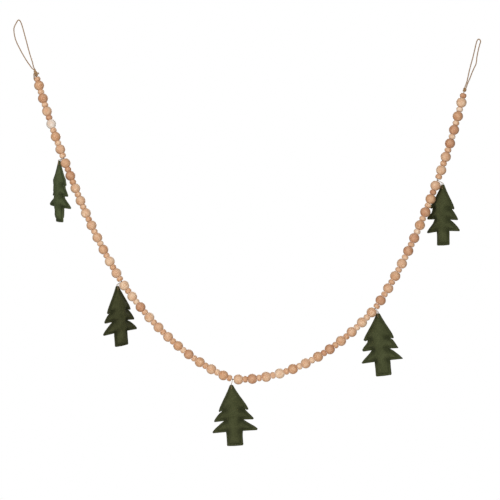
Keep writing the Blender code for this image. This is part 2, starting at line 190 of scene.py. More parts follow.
LEFT_TAIL_2 = (
    (-0.0026, -0.0036, -0.0006),
    (-0.0031, -0.0047, -0.0014),
    (-0.0030, -0.0055, -0.0035),
    (-0.0028, -0.0060, -0.0064),
    (-0.0026, -0.0063, -0.0098),
    (-0.0025, -0.0062, -0.0135),
)

# --- sizes of the finish ---
# Soft plies press into each other, so each is thicker than its share.
PLY_SWELL = 1.45
PLY_SIDES = 8
THIN_PLY_SIDES = 6
TWINE_PLIES = 3
TWINE_TWIST = 7.5 * MM
TWINE_STEP = 0.6 * MM
STRING_STEP = 1.2 * MM
THREAD_PLIES = 2
THREAD_TWIST = 2.0 * MM
THREAD_STEP = 0.22 * MM
# The thread lies closer to the felt than the model's, which keeps clear of the tree.
THREAD_ABOVE_TIP = 1.2 * MM

# Twine that goes into a knot starts inside it, here from the knot's centre.
LEFT_LOOP_ENDS = ((-0.0010, -0.0006, 0.0020), (0.0004, 0.0006, 0.0020))
RIGHT_LOOP_ENDS = ((-0.0006, 0.0000, 0.0005), (0.0012, 0.0000, 0.0005))
LEFT_TAIL_1_ROOT = (0.0015, 0.0000, 0.0010)
LEFT_TAIL_2_ROOT = (-0.0008, -0.0012, -0.0004)

# A knot is two wraps that cross, over a core that fills it. Its reach, lobes and core are
# shares of its radius and half length.
KNOT_TURNS = (0.35, 0.35 + math.pi / 3)
KNOT_POINTS = 181
KNOT_REACH = 0.44
KNOT_LOBES = 0.28
KNOT_CORE_WIDTH = 0.66
KNOT_CORE_LENGTH = 0.8
KNOT_CORE_PLIES = 5
KNOT_CORE_POINTS = 24

# How many stray fibres a piece has, their usual length and their radius.
LOOP_HAIRS = (420, 2.6 * MM, 0.035 * MM)
KNOT_HAIRS = (90, 2.2 * MM, 0.035 * MM)
TAIL_HAIRS = (60, 2.2 * MM, 0.035 * MM)
FELT_HAIRS = (1500, 1.1 * MM, 0.030 * MM)
HAIR_TAPER = (0.0, 1.0, 0.9, 0.6, 0.0)
HAIR_SIDES = 3
HAIR_ROOT = 0.1 * MM
HAIR_LEAN = 0.55
# Shortest and longest, as shares of the usual length.
HAIR_LENGTHS = (0.4, 1.3)

# Each bead leans, is out of round, and differs in size and shade by a little. It is cut
# from its own place in a block of wood whose grain is tilted by up to so many degrees.
BEAD_LEAN = 0.018
BEAD_OUT_OF_ROUND = 0.008
BEAD_SIZE_SPREAD = 0.008
BEAD_TONE_SPREAD = 0.03
BLOCK_TILT = 30.0
BLOCK_REACH = (8.0 * MM, 60.0 * MM)
BEAD_MESHES = {
    # small: radius, half length, points along the outside, points round
    True: (SMALL_BEAD_RADIUS, SMALL_BEAD_HALF_LENGTH, 17, 32),
    False: (LARGE_BEAD_RADIUS, LARGE_BEAD_HALF_LENGTH, 23, 40),
}
BORE_MOUTH = (
    # radius, depth from the bead's end
    (BEAD_END_RADIUS - 0.3 * MM, 0.0),
    (BORE_RADIUS + 0.5 * MM, 0.05 * MM),
    (BORE_RADIUS + 0.1 * MM, 0.3 * MM),
    (BORE_RADIUS, 0.9 * MM),
)

# The cut line, then the crown over the filling, the seam's groove, painted shade darkening
# the felt at the cut edge, seam and notches, and the pinch and puckers beside each notch.
FELT_GRID = 0.7 * MM
CUT_SOFTNESS = 0.4 * MM
NEAREST_CUT = 0.2 * MM
CROWN_REACH = 12.0 * MM
CROWN_RISE = 40.0 * MM
CROWN_RISE_POWER = 0.8
SEAM_GROOVE = 0.7 * MM
SEAM_GROOVE_WIDTH = 0.8 * MM
# Painted shade: how much the felt's colour is darkened along the seam and at the cut edge, and
# how far in from the edge it reaches.
SEAM_PAINTED_SHADE = 0.7
EDGE_PAINTED_SHADE = 0.6
EDGE_PAINTED_SHADE_REACH = 2.4 * MM
NOTCHES = ((0.0168, 0.0495), (0.0155, 0.0722), (0.0140, 0.0952))
PINCH = 0.75
PINCH_REACH = 6.0 * MM
PUCKER = 0.5 * MM
PUCKER_FOLDS = 9.0
PUCKER_WAVE = 3.0 * MM
DIMPLE = 0.6 * MM
DIMPLE_REACH = 1.4 * MM
TREE_HALF_WIDTH = 45.2 * MM
LUMP_SINES = 12
LUMP_SPREAD = (0.7, 1.3)
FILLING_LUMPS = (
    # wave length, height
    (16.0 * MM, 0.35 * MM),
    (6.0 * MM, 0.12 * MM),
)
EDGE_LEVELS = (
    # level across the rim, how far the edge stands out
    (-0.75, 0.35 * MM),
    (-0.35, 0.35 * MM),
    (0.0, 0.05 * MM),
    (0.35, 0.35 * MM),
    (0.75, 0.35 * MM),
)
STITCH_LENGTH = 3.0 * MM
STITCH_GAP = 0.7 * MM
STITCH_RADIUS = 0.32 * MM
# A stitch's highest and lowest point over the felt, in its own radius.
STITCH_RISE = 0.7
STITCH_SINK = 0.7
STITCH_POINTS = 7
STITCH_SIDES = 6
# Seam points nearer the cut than this share of the inset are dropped.
SEAM_KEPT = 0.97


# --- shapes ---
CURVE_POINTS = 12
FEWEST_STEPS = 4
# No path starts along this direction.
FIRST_SIDE = (0.31, 0.87, 0.38)


def unit(vectors):
    """Vectors divided by their lengths."""
    return vectors / np.linalg.norm(vectors, axis=-1, keepdims=True)


def bell(distance, reach):
    """exp(-(distance / reach)^2): one at no distance, fading over the reach."""
    return np.exp(-((distance / reach) ** 2))


def spokes(angle, side, up):
    """Vectors at angles round an axis: cos a side + sin a up."""
    return np.cos(angle)[..., None] * side + np.sin(angle)[..., None] * up


def heading_vector(degrees):
    """Directions in the garland's plane, at angles above the horizontal."""
    angle = np.radians(degrees)
    return np.stack([np.cos(angle), 0.0 * angle, np.sin(angle)], axis=-1)


def path_lengths(path):
    """Distance from the start of a path to each of its points."""
    return np.concatenate([[0.0], np.cumsum(np.linalg.norm(np.diff(path, axis=0), axis=1))])


def even_steps(points, step):
    """Points at even distances along a polyline, about a step apart."""
    along = path_lengths(points)
    wanted = np.linspace(0.0, along[-1], max(FEWEST_STEPS, round(along[-1] / step)) + 1)
    return np.column_stack([np.interp(wanted, along, axis) for axis in points.T])


def smooth_path(points, step):
    """Even points on a Catmull-Rom curve: between b and c, with a before and d after,
    half of 2b + (c - a) t + (2a - 5b + 4c - d) t^2 + (3b - 3c + d - a) t^3.
    """
    points = np.asarray(points, float)
    ring = np.vstack([2 * points[0] - points[1], points, 2 * points[-1] - points[-2]])
    a, b, c, d = (ring[k:len(ring) - 3 + k, None, :] for k in range(4))
    t = np.linspace(0.0, 1.0, CURVE_POINTS, endpoint=False)[None, :, None]
    curve = 0.5 * (2 * b + (c - a) * t + (2 * a - 5 * b + 4 * c - d) * t**2
                   + (3 * b - 3 * c + d - a) * t**3)
    return even_steps(np.vstack([curve.reshape(-1, 3), points[-1:]]), step)


def carried_frame(path):
    """Direction, side and up at each point of a path.

    The side is carried along: it is the one before it, less its part along the new
    direction, made a unit vector again.
    """
    along = unit(np.gradient(path, axis=0))
    side = np.empty_like(along)
    side[0] = unit(np.cross(along[0], FIRST_SIDE))
    for k in range(1, len(path)):
        side[k] = unit(side[k - 1] - (side[k - 1] @ along[k]) * along[k])
    return along, side, np.cross(along, side)


def tube_faces(count, rings, sides, closed=False):
    """Quads of several like tubes, whose points are numbered tube by tube, ring by ring.

    A closed tube's last ring joins its first.
    """
    ring = np.arange(rings if closed else rings - 1)[:, None]
    side = np.arange(sides)
    next_ring = (ring + 1) % rings
    next_side = (side + 1) % sides
    corners = (ring * sides + side, ring * sides + next_side,
               next_ring * sides + next_side, next_ring * sides + side)
    one = np.stack(np.broadcast_arrays(*corners), axis=-1).reshape(-1, 4)
    return (one + np.arange(count)[:, None, None] * rings * sides).reshape(-1, 4)


def joined(shells):
    """One shell from several, each of (points, faces, attributes)."""
    points, faces, attributes = zip(*shells)
    starts = np.cumsum([0] + [len(one) for one in points[:-1]])
    moved = [one + start for one, start in zip(faces, starts)]
    together = {name: np.concatenate([one[name] for one in attributes]) for name in attributes[0]}
    return np.vstack(points), np.vstack(moved), together


def rounded_ends(along, length, radius):
    """Share of the radius at each place along a cord whose two ends are half spheres."""
    inside = np.clip(np.minimum(along, length - along) / radius, 0.0, 1.0)
    return np.sqrt(1.0 - (1.0 - inside) ** 2)


def twisted_cord(path, radius, plies, twist, sides):
    """Plies laid round a path, each a tube that touches its neighbours.

    A ply's centre is path + reach (cos w side + sin w up), where w turns once in each
    twist length. For n plies in a circle of radius R that touch each other, the ply's
    radius is R q / (1 + q) with q = sin(pi / n), and the reach is what is left of R.
    The attribute strand holds the way along, the way round and the ply's number.
    """
    share = math.sin(math.pi / plies)
    ply_radius = radius * share / (1.0 + share)
    reach = radius - ply_radius
    _, side, up = carried_frame(path)
    along = path_lengths(path)
    ply = np.arange(plies)[:, None]
    turn = 2 * math.pi * (along[None, :] / twist + ply / plies)
    centre = path + reach * spokes(turn, side, up)
    around = 2 * math.pi * np.arange(sides) / sides
    ring = spokes(turn[..., None] + around, side[:, None, :], up[:, None, :])
    swell = PLY_SWELL * ply_radius * rounded_ends(along, along[-1], radius)
    rings = centre[:, :, None, :] + swell[:, None, None] * ring
    strand = np.stack(np.broadcast_arrays(along[None, :, None], around * ply_radius,
                                          ply[:, :, None] * 1.0), axis=-1)
    faces = tube_faces(plies, len(path), sides)
    return rings.reshape(-1, 3), faces, {"strand": strand.reshape(-1, 3)}


def stray_fibres(roots, directions, sideways, length, radius):
    """Fine straight hairs, each a thin tube along root + direction s that tapers away."""
    s = np.linspace(0.0, 1.0, len(HAIR_TAPER))[None, :, None] * length[:, None, None]
    line = roots[:, None, :] + directions[:, None, :] * s
    side = unit(np.cross(directions, sideways))
    up = unit(np.cross(directions, side))
    thick = radius * np.array(HAIR_TAPER)[:, None, None]
    angle = 2 * math.pi * np.arange(HAIR_SIDES) / HAIR_SIDES
    ring = spokes(angle, side[:, None, None, :], up[:, None, None, :])
    rings = line[:, :, None, :] + thick * ring
    strand = np.zeros(rings.shape)
    strand[..., 0] = s
    faces = tube_faces(len(roots), len(HAIR_TAPER), HAIR_SIDES)
    return rings.reshape(-1, 3), faces, {"strand": strand.reshape(-1, 3)}


# --- meshes ---
WELD = 0.001 * MM


def add_piece(name, shell, material, replaced=()):
    """A smooth mesh object from a shell, welded, facing outwards, riding on the garland."""
    points, faces, attributes = shell
    first_corners = np.arange(0, faces.size, faces.shape[1], dtype=np.int32)
    mesh = bpy.data.meshes.new(name)
    mesh.vertices.add(len(points))
    mesh.vertices.foreach_set("co", np.ascontiguousarray(points, np.float32).ravel())
    mesh.loops.add(faces.size)
    mesh.loops.foreach_set("vertex_index", np.ascontiguousarray(faces, np.int32).ravel())
    mesh.polygons.add(len(faces))
    mesh.polygons.foreach_set("loop_start", first_corners)
    mesh.update(calc_edges=True)
    for label, values in attributes.items():
        kind, field = ("FLOAT_VECTOR", "vector") if values.ndim == 2 else ("FLOAT", "value")
        layer = mesh.attributes.new(label, kind, "POINT")
        layer.data.foreach_set(field, np.ascontiguousarray(values, np.float32).ravel())
    work = bmesh.new()
    work.from_mesh(mesh)
    bmesh.ops.remove_doubles(work, verts=work.verts, dist=WELD)
    bmesh.ops.recalc_face_normals(work, faces=work.faces)
    work.to_mesh(mesh)
    work.free()
    mesh.shade_smooth()
    mesh.materials.append(material)
    piece = bpy.data.objects.new(name, mesh)
    bpy.context.scene.collection.objects.link(piece)
    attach(piece, "root")
    if replaced:
        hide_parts(*replaced)
    return piece


# --- materials ---
def srgb(code):
    """Linear colour of an sRGB hex value: c / 12.92 when small, else ((c + .055) / 1.055)^2.4."""
    c = np.array([int(code[k:k + 2], 16) for k in (1, 3, 5)]) / 255.0
    linear = np.where(c <= 0.04045, c / 12.92, ((c + 0.055) / 1.055) ** 2.4)
    return (*linear.tolist(), 1.0)


def set_inputs(node, inputs):
    """A node's inputs, each linked from another node's socket or set on the node itself."""
    for name, value in inputs.items():
        if isinstance(value, bpy.types.NodeSocket):
            node.id_data.links.new(value, node.inputs[name])
        else:
            node.inputs[name].default_value = value


def add_node(tree, kind, settings=None, inputs=None, stops=()):
    """A shader node with its settings, its inputs as values or links, and a ramp's stops."""
    made = tree.nodes.new(f"ShaderNode{kind}")
    for name, value in (settings or {}).items():
        setattr(made, name, value)
    set_inputs(made, inputs or {})
    if stops:
        ramp = made.color_ramp.elements
        for position, _ in stops[1:-1]:
            ramp.new(position)
        for stop, (position, colour) in zip(ramp, stops):
            stop.position = position
            stop.color = srgb(colour)
    return made


def new_material(name):
    """A material, its node tree and its Principled shader."""
    material = bpy.data.materials.new(name)
    material.use_nodes = True
    tree = material.node_tree
    return material, tree, tree.nodes["Principled BSDF"]


MULTIPLY = {"data_type": "RGBA", "blend_type": "MULTIPLY"}
# A colour mix's sockets by number, since its other kinds have the same names.
SHARE = 0
FIRST_COLOUR = 6
SECOND_COLOUR = 7
MIXED_COLOUR = 2

# Real sizes of the patterns.
FELT_MOTTLE = 1.6 * MM
FELT_DRIFT = 14.0 * MM
FELT_MAT = 0.7 * MM
FELT_NAP = 0.35 * MM
GROWTH_LINE = 1.5 * MM
# The wave node's rings repeat this many times in each unit of the scaled place.
WAVES_PER_UNIT = 20 / (2 * math.pi)
WOOD_PATCH = 7.0 * MM
PORE_WIDTH = 0.35 * MM
PORE_LENGTH = 5.0 * MM
PORE_DEPTH = 0.05 * MM
STREAK_DEPTH = 0.12 * MM
# Far enough from one ply to the next for streaks of their own.
PLY_APART = 7.3


def wool_felt():
    """Wool felt: fibres matted by needling, so it is matt, with a soft bloom at grazing
    angles, a mottle of dyed fibres 1 to 2 mm across and a slow change of shade. Painted
    shade darkens it at the cut edge, along the seam's groove and where the notches draw
    in. Each tree's felt takes a tint that is partly its own and partly painted light.
    """
    material, tree, shader = new_material("wool_felt")
    where = add_node(tree, "TexCoord").outputs["Object"]
    fibres = add_node(tree, "TexNoise", inputs={
        "Vector": where, "Scale": 1 / FELT_MOTTLE, "Detail": 6.0, "Roughness": 0.65,
        "Distortion": 0.9})
    heather = add_node(tree, "ValToRGB", inputs={"Fac": fibres.outputs["Fac"]}, stops=(
        (0.25, "#3c4128"), (0.50, "#4f5437"), (0.78, "#686e4c")))
    drift = add_node(tree, "TexNoise", inputs={
        "Vector": where, "Scale": 1 / FELT_DRIFT, "Detail": 2.0})
    shade = add_node(tree, "ValToRGB", inputs={"Fac": drift.outputs["Fac"]}, stops=(
        (0.30, "#e2e4dc"), (0.70, "#ffffff")))
    # Each tree's tint, partly its own and partly painted light: lighter and clearer on trees
    # turned towards the key light, darker and greyer on tree 2, turned away.
    dye = add_node(tree, "Attribute", {"attribute_name": "dye"}).outputs["Fac"]
    tint_and_light_ramp = add_node(tree, "ValToRGB", inputs={"Fac": dye}, stops=(
        (0.0, "#d8d2ca"), (0.4, "#e4e2d9"), (1.0, "#f6fffe")))
    # Painted shade: the felt is darkened along the cut edge, the seam's groove and beside the
    # notches.
    painted_shade = add_node(tree, "Attribute", {"attribute_name": "painted_shade"}).outputs["Fac"]
    painted_shade_tint = add_node(tree, "ValToRGB", inputs={"Fac": painted_shade}, stops=(
        (0.0, "#ffffff"), (1.0, "#b9bbb0")))
    colour = heather.outputs["Color"]
    for tint in (shade, tint_and_light_ramp, painted_shade_tint):
        mixed = add_node(tree, "Mix", MULTIPLY, {
            SHARE: 1.0, FIRST_COLOUR: colour, SECOND_COLOUR: tint.outputs["Color"]})
        colour = mixed.outputs[MIXED_COLOUR]
    mat = add_node(tree, "TexNoise", inputs={
        "Vector": where, "Scale": 1 / FELT_MAT, "Detail": 4.0, "Roughness": 0.6,
        "Distortion": 1.6})
    bump = add_node(tree, "Bump", inputs={
        "Height": mat.outputs["Fac"], "Strength": 0.5, "Distance": FELT_NAP})
    set_inputs(shader, {
        "Base Color": colour, "Normal": bump.outputs["Normal"], "Roughness": 0.95,
        "Specular IOR Level": 0.2, "Sheen Weight": 0.06, "Sheen Roughness": 0.45,
        "Sheen Tint": srgb("#8d9468")})
    return material


def turned_wood():
    """Schima wood, turned and sanded but not varnished: silky to matt, every bead of its
    own tone from cream to red-brown, with growth lines some 1.5 mm apart and fine pores.
    """
    material, tree, shader = new_material("turned_schima_wood")
    grain = add_node(tree, "Attribute", {"attribute_name": "grain"}).outputs["Vector"]
    tone = add_node(tree, "Attribute", {"attribute_name": "tone"}).outputs["Fac"]
    base = add_node(tree, "ValToRGB", inputs={"Fac": tone}, stops=(
        (0.00, "#fcffff"), (0.20, "#f6e2ca"), (0.38, "#f0d6ba"), (0.55, "#e8c8aa"),
        (0.74, "#e1bc99"), (0.92, "#d7af8f"), (1.00, "#d0a484")))
    rings = add_node(tree, "TexWave", {"wave_type": "RINGS", "rings_direction": "Z"}, {
        "Vector": grain, "Scale": 1 / (WAVES_PER_UNIT * GROWTH_LINE), "Distortion": 2.2,
        "Detail": 2.0, "Detail Scale": 0.35, "Detail Roughness": 0.5})
    growth = add_node(tree, "ValToRGB", inputs={"Fac": rings.outputs["Fac"]}, stops=(
        (0.0, "#d6bea6"), (0.35, "#f6ece1"), (1.0, "#ffffff")))
    patches = add_node(tree, "TexNoise", inputs={
        "Vector": grain, "Scale": 1 / WOOD_PATCH, "Detail": 2.0, "Roughness": 0.5})
    figure = add_node(tree, "ValToRGB", inputs={"Fac": patches.outputs["Fac"]}, stops=(
        (0.30, "#e6c8b0"), (0.62, "#ffffff")))
    stretched = add_node(tree, "Mapping", {"vector_type": "POINT"}, {
        "Vector": grain, "Scale": (1 / PORE_WIDTH, 1 / PORE_WIDTH, 1 / PORE_LENGTH)})
    pores = add_node(tree, "TexNoise", inputs={
        "Vector": stretched.outputs["Vector"], "Scale": 1.0, "Detail": 3.0, "Roughness": 0.6})
    flecks = add_node(tree, "ValToRGB", inputs={"Fac": pores.outputs["Fac"]}, stops=(
        (0.30, "#dcc2aa"), (0.52, "#ffffff")))
    colour = base.outputs["Color"]
    for share, tint in ((0.9, growth), (0.8, flecks), (0.7, figure)):
        mixed = add_node(tree, "Mix", MULTIPLY, {
            SHARE: share, FIRST_COLOUR: colour, SECOND_COLOUR: tint.outputs["Color"]})
        colour = mixed.outputs[MIXED_COLOUR]
    bump = add_node(tree, "Bump", inputs={
        "Height": pores.outputs["Fac"], "Strength": 0.25, "Distance": PORE_DEPTH})
    set_inputs(shader, {"Base Color": colour, "Normal": bump.outputs["Normal"],
                        "Roughness": 0.52, "IOR": 1.5, "Specular IOR Level": 0.4})
    return material


def spun_fibre(name, colours, streak_length, streak_width, roughness):
    """Fibres spun into plies: streaks that run along each ply, long and thin, lighter
    where a fibre lies on top, and a matt dusty surface.
    """
    material, tree, shader = new_material(name)
    strand = add_node(tree, "Attribute", {"attribute_name": "strand"}).outputs["Vector"]
    stretched = add_node(tree, "Mapping", {"vector_type": "POINT"}, {
        "Vector": strand, "Scale": (1 / streak_length, 1 / streak_width, PLY_APART)})
    streaks = add_node(tree, "TexNoise", inputs={
        "Vector": stretched.outputs["Vector"], "Scale": 1.0, "Detail": 4.0, "Roughness": 0.65,
        "Distortion": 0.4})
    colour = add_node(tree, "ValToRGB", inputs={"Fac": streaks.outputs["Fac"]},
                      stops=tuple(zip((0.28, 0.50, 0.75), colours)))
    bump = add_node(tree, "Bump", inputs={
        "Height": streaks.outputs["Fac"], "Strength": 0.6, "Distance": STREAK_DEPTH})
    set_inputs(shader, {
        "Base Color": colour.outputs["Color"], "Normal": bump.outputs["Normal"],
        "Roughness": roughness, "Specular IOR Level": 0.25, "Sheen Weight": 0.1,
        "Sheen Roughness": 0.5})
    return material


# --- the camera ---
VIEW_CENTRE = (0.4765, -0.4738)
VIEW_WIDTH = 1.03
LENS = 122.0
SENSOR = 36.0


def add_camera():
    """A long lens square to the garland, as far off as makes the view its width."""
    data = bpy.data.cameras.new("camera")
    data.lens = LENS
    data.sensor_width = SENSOR
    data.clip_end = 50.0
    camera = bpy.data.objects.new("camera", data)
    camera.location = (VIEW_CENTRE[0], -VIEW_WIDTH * LENS / SENSOR, VIEW_CENTRE[1])
    camera.rotation_euler = (math.radians(90.0), 0.0, 0.0)
    bpy.context.scene.collection.objects.link(camera)
    bpy.context.scene.camera = camera


# --- the string of beads ---
def chain_heading(start, end, share):
    """Directions a share of the way down a run: tan of the heading changes evenly."""
    low, high = np.tan(np.radians([start, end]))
    return heading_vector(np.degrees(np.arctan(low + (high - low) * share)))


def half_lengths(small, scale):
    """Half the lengths of beads along the string."""
    return np.where(small, SMALL_BEAD_HALF_LENGTH, LARGE_BEAD_HALF_LENGTH) * scale


def lay_out_beads():
    """The beads of every run, and the string's point and direction at each gap.

    A bead's centre is the one before it plus a pitch, in the heading half way between.
    """
    place = np.array(FIRST_BEAD)
    start_small = True
    runs = []
    gaps = []
    for number, (count, pitch, scale, start, end, bare) in enumerate(BEAD_RUNS, start=1):
        share = np.arange(count) / (count - 1)
        steps = pitch * chain_heading(start, end, (share[:-1] + share[1:]) / 2)
        centres = place + np.vstack([np.zeros(3), np.cumsum(steps, axis=0)])
        small = (np.arange(count) % 2 == 0) == start_small
        runs.append({"centre": centres, "along": chain_heading(start, end, share),
                     "small": small, "scale": scale})
        start_small = not small[-1]
        if bare:
            _, _, next_scale, next_start, _, _ = BEAD_RUNS[number]
            leaving = heading_vector(end)
            arriving = heading_vector(next_start)
            middle = centres[-1] + (half_lengths(small[-1], scale) + bare / 2) * leaving
            gaps.append({"centre": middle, "along": unit(leaving + arriving)})
            place = middle + (bare / 2 + half_lengths(start_small, next_scale)) * arriving
    return runs, gaps


def bead_section(radius, half, steps):
    """Closed section of a bead as (across, along) pairs.

    Outside, across = R sqrt(1 - t^2 (1 - (e / R)^2)) at along = t half, where e is the
    end's radius. At each end a small chamfer leads into the straight bore.
    """
    t = np.sin(np.linspace(-math.pi / 2, math.pi / 2, steps))
    across = radius * np.sqrt(1 - t**2 * (1 - (BEAD_END_RADIUS / radius) ** 2))
    mouth = np.array([(bore, half - depth) for bore, depth in BORE_MOUTH])
    return np.vstack([np.column_stack([across, t * half]), mouth, (mouth * (1, -1))[::-1]])


def bead_shell(run, tones, small, rng):
    """All beads of one size in a run: the section turned about each bead's own axis.

    Each bead has its own turn about the string. The attribute grain is the place in the
    bead's own block of wood, and tone is its shade.
    """
    chosen = np.flatnonzero(run["small"] == small)
    count = len(chosen)
    radius, half, steps, sides = BEAD_MESHES[small]
    section = bead_section(radius * run["scale"], half * run["scale"], steps)
    along = unit(run["along"][chosen] + rng.normal(0.0, BEAD_LEAN, (count, 3)))
    spin = rng.uniform(-1.0, 1.0, (count, 3))
    side = unit(np.cross(along, spin))
    up = np.cross(along, side)
    angle = 2 * math.pi * np.arange(sides) / sides
    lobes = rng.uniform(0.0, 2 * math.pi, (count, 1))
    plump = (rng.normal(1.0, BEAD_SIZE_SPREAD, (count, 1))
             + BEAD_OUT_OF_ROUND * np.cos(2 * angle + lobes))
    local = np.stack(np.broadcast_arrays(
        section[None, :, None, 0] * plump[:, None, :] * np.cos(angle),
        section[None, :, None, 0] * plump[:, None, :] * np.sin(angle),
        section[None, :, None, 1] + 0.0 * angle), axis=-1)
    axes = np.stack([side, up, along], axis=1)
    points = run["centre"][chosen][:, None, None, :] + np.einsum("bpac,bcd->bpad", local, axes)
    tilt = np.radians(rng.uniform(-BLOCK_TILT, BLOCK_TILT, (count, 1, 1)))
    block = np.stack([local[..., 0],
                      np.cos(tilt) * local[..., 1] - np.sin(tilt) * local[..., 2],
                      np.sin(tilt) * local[..., 1] + np.cos(tilt) * local[..., 2]], axis=-1)
    block = block + rng.uniform(*BLOCK_REACH, (count, 1, 1, 3))
    shade = np.array([TONE_STEPS[letter] for letter in tones])[chosen]
    shade = np.clip(shade + rng.normal(0.0, BEAD_TONE_SPREAD, count), 0.0, 1.0)
    tone = np.broadcast_to(shade[:, None, None], local.shape[:-1])
    faces = tube_faces(count, len(section), sides, closed=True)
    return points.reshape(-1, 3), faces, {"grain": block.reshape(-1, 3), "tone": tone.ravel()}


# --- twine, thread and knots ---
FRONT = np.array([0.0, -1.0, 0.0])


def string_path(runs, gaps, start, end):
    """The string from knot to knot, through both ends of every bead and every gap."""
    stops = [start[None, :]]
    for number, run in enumerate(runs):
        reach = half_lengths(run["small"], run["scale"])[:, None] * run["along"]
        both = np.stack([run["centre"] - reach, run["centre"] + reach], axis=1)
        stops.append(both.reshape(-1, 3))
        if number < len(gaps):
            stops.append(gaps[number]["centre"][None, :])
    return smooth_path(np.vstack(stops + [end[None, :]]), STRING_STEP)


def twine(path, sides=PLY_SIDES):
    """Jute twine along a path."""
    return twisted_cord(path, TWINE_RADIUS, TWINE_PLIES, TWINE_TWIST, sides)


def tight_knot(centre, along, size, turn):
    """Path of an overhand knot pulled tight round an axis.

    At the angle 2t it stands A + B cos 3t off the axis and H sin 3t along it. The taper
    widens it towards the beads.
    """
    t = np.linspace(0.0, 2 * math.pi, KNOT_POINTS) + turn
    height = (size["half_length"] - TWINE_RADIUS) * np.sin(3 * t)
    reach = (KNOT_REACH + KNOT_LOBES * np.cos(3 * t)) * size["radius"]
    reach = reach * (1.0 - size["taper"] * height / size["half_length"])
    ring = spokes(2 * t, np.cross(along, FRONT), FRONT)
    return centre + height[:, None] * along + reach[:, None] * ring


def knot_shell(centre, along, size):
    """A knot's wraps, each a path of the twine, and a straight core that fills them."""
    wraps = [twine(tight_knot(centre, along, size, turn)) for turn in KNOT_TURNS]
    half = KNOT_CORE_LENGTH * size["half_length"]
    core = centre + np.linspace(-half, half, KNOT_CORE_POINTS)[:, None] * along
    core = twisted_cord(core, KNOT_CORE_WIDTH * size["radius"], KNOT_CORE_PLIES,
                        2 * TWINE_TWIST, PLY_SIDES)
    return joined([*wraps, core])


def hanger_path(gap, hung):
    """A loop of thread over the string, down the tree's two faces and through its hole."""
    turn = turn_matrix(hung)
    up = turn[:, 2]
    out = -turn[:, 1]
    anchor = gap["centre"]
    tip = anchor + np.array(hung.tip)
    crest = tip + THREAD_ABOVE_TIP * up
    hole = tip - THREAD_HOLE_BELOW_TIP * up
    side = np.cross(gap["along"], FRONT)
    side = side * math.copysign(1.0, side @ (hole - anchor))
    bow = (anchor + crest) / 2 + THREAD_BOW * np.linalg.norm(crest - anchor) * side
    over = TWINE_RADIUS + THREAD_RADIUS + 2 * CLEARANCE
    beside = TREE_RIM_HALF + THREAD_RADIUS + CLEARANCE
    middles = np.array([anchor, bow, crest, (tip + hole) / 2])
    between = (over + beside) / 2 * unit(FRONT + out)
    offsets = np.array([over * FRONT, between, beside * out, beside * out])
    through = np.array([hole + beside * out, hole, hole - beside * out])
    top = anchor - over * side
    loop = [top, *(middles + offsets), *through, *(middles - offsets)[::-1], top]
    return smooth_path(loop, THREAD_STEP)


# --- felt trees ---
def cut_outline(size):
    """Closed cut line of a tree, (across, down) points a grid step apart, clockwise.

    The right half and its mirror image, softened along the line by a Gaussian as wide as
    the scissors' slip, which is a product with exp(-(2 pi f w)^2 / 2) of its spectrum.
    """
    right = even_steps(np.array(TREE_OUTLINE) * size, FELT_GRID)
    line = np.vstack([right, right[-2:0:-1] * (-1.0, 1.0)])
    spacing = path_lengths(line)[-1] / (len(line) - 1)
    spectrum = np.fft.fft(line[:, 0] + 1j * line[:, 1])
    waves = np.fft.fftfreq(len(line), spacing)
    soft = np.fft.ifft(spectrum * np.exp(-((2 * math.pi * waves * CUT_SOFTNESS) ** 2) / 2))
    return np.column_stack([soft.real, soft.imag])


def outline_normals(line):
    """Unit vectors out of a clockwise closed line."""
    along = unit(np.roll(line, -1, axis=0) - np.roll(line, 1, axis=0))
    return np.column_stack([along[:, 1], -along[:, 0]])


def inside_line(points, line):
    """Whether each point lies in a closed line, by counting crossings to its right."""
    x = points[:, None, 0]
    y = points[:, None, 1]
    following = np.roll(line, -1, axis=0)
    crosses = (line[None, :, 1] > y) != (following[None, :, 1] > y)
    rise = following[:, 1] - line[:, 1]
    rise = np.where(rise == 0.0, 1.0, rise)
    at = line[:, 0] + (y - line[:, 1]) * (following[:, 0] - line[:, 0]) / rise
    return (crosses & (x < at)).sum(axis=1) % 2 == 1


def soft_distance(points, line):
    """A smooth distance from a closed line, with no ridge where two sides are as near.

    It is (pi / 2 / sum of step / r^4)^(1/3) over the line's steps at distance r, which
    is the plain distance beside a straight edge.
    """
    steps = np.linalg.norm(np.roll(line, -1, axis=0) - line, axis=1)
    middles = (line + np.roll(line, -1, axis=0)) / 2
    gap = points[:, None, :] - middles[None, :, :]
    squared = np.maximum((gap**2).sum(axis=2), NEAREST_CUT**2)
    return (math.pi / 2 / (steps / squared**2).sum(axis=1)) ** (1 / 3)


def draw_lumps(rng, wave, amount):
    """Soft lumps of about one wave length: directions, phases and height of their sines."""
    turn = rng.uniform(0.0, 2 * math.pi, LUMP_SINES)
    ways = np.column_stack([np.cos(turn), np.sin(turn)]) * 2 * math.pi / wave
    ways = ways * rng.uniform(*LUMP_SPREAD, (LUMP_SINES, 1))
    return ways, rng.uniform(0.0, 2 * math.pi, LUMP_SINES), amount


def lump_height(flat, lumps):
    """The sum of sin(direction . place + phase), as high as the amount says."""
    ways, phase, amount = lumps
    return amount * np.sin(flat @ ways.T + phase).sum(axis=1) / math.sqrt(len(phase))


def from_notches(flat, size):
    """The way from each drawn-in spot beside a notch to each point, left folded on right."""
    mirrored = np.column_stack([np.abs(flat[:, 0]), flat[:, 1]])
    return mirrored[:, None, :] - np.array(NOTCHES) * size


def felt_painted_shade(flat, line, size):
    """Painted shade on the felt: how much its colour is darkened along the cut edge, the seam and
    beside the notches.
    """
    distance = soft_distance(flat, line)
    seam = bell(distance - SEAM_INSET, SEAM_GROOVE_WIDTH)
    spots = bell(np.linalg.norm(from_notches(flat, size), axis=2), PINCH_REACH).sum(axis=1)
    edge = bell(distance, EDGE_PAINTED_SHADE_REACH)
    return np.clip(SEAM_PAINTED_SHADE * seam + spots + EDGE_PAINTED_SHADE * edge, 0.0, 1.0)


